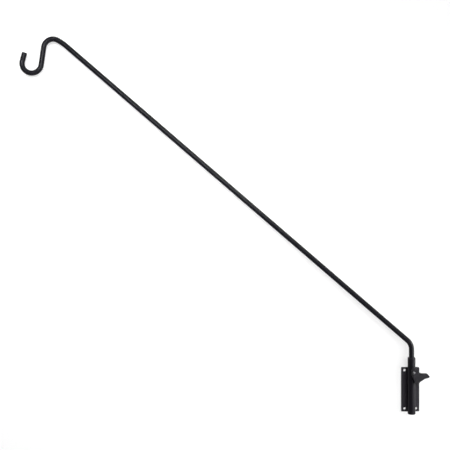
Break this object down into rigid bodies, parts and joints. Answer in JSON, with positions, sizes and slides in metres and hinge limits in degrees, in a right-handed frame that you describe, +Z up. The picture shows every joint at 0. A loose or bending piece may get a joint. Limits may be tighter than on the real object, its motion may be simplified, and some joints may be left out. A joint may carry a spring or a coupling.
{
  "type": "wall mounted deck hook",
  "caption": "Long bent rod arm with an open hanging hook, standing in a swivelling tube on a small screw-on wall plate and held by a sprung finger lever.",
  "frame": {"origin": "centre of the plate's back face, where it meets the wall", "axes": "+Z up along the tube, +Y into the wall, +X to the right along the wall, with the arm reaching towards -X at rest"},
  "size_m": [0.7996, 0.0257, 0.7399],
  "materials": {
    "rod_coat": "satin black powder coat",
    "bracket_coat": "satin black powder coat",
    "lever_coat": "textured black powder coat",
    "black_nylon": "moulded black nylon",
    "stud_steel": "blackened steel, rubbed brighter on the head",
    "spring_steel": "oiled spring wire"
  },
  "bodies": {
    "bracket": {"mounting_plate": "bracket_coat", "pivot_tube": "bracket_coat", "left_weld": "bracket_coat", "right_weld": "bracket_coat", "upper_bush": "black_nylon", "lower_bush": "black_nylon", "end_plug": "bracket_coat", "lever_stud": "stud_steel", "lever_spring": "spring_steel"},
    "arm": {"arm_rod": "rod_coat"},
    "lever": {"locking_lever": "lever_coat"}
  },
  "joints": [
    {"name": "arm_swivel", "type": "hinge", "parent": "bracket", "child": "arm", "pos_m": [0, -0.01, 0.065], "axis": [0, 0, 1], "continuous": true},
    {"name": "lever_pivot", "type": "hinge", "parent": "bracket", "child": "lever", "pos_m": [0, -0.0225, 0.037], "axis": [0, -1, 0], "range_deg": [0, 60], "stiffness_Nm_per_rad": 0.065, "springref_deg": -34.38, "deforming": ["lever_spring"]}
  ]
}
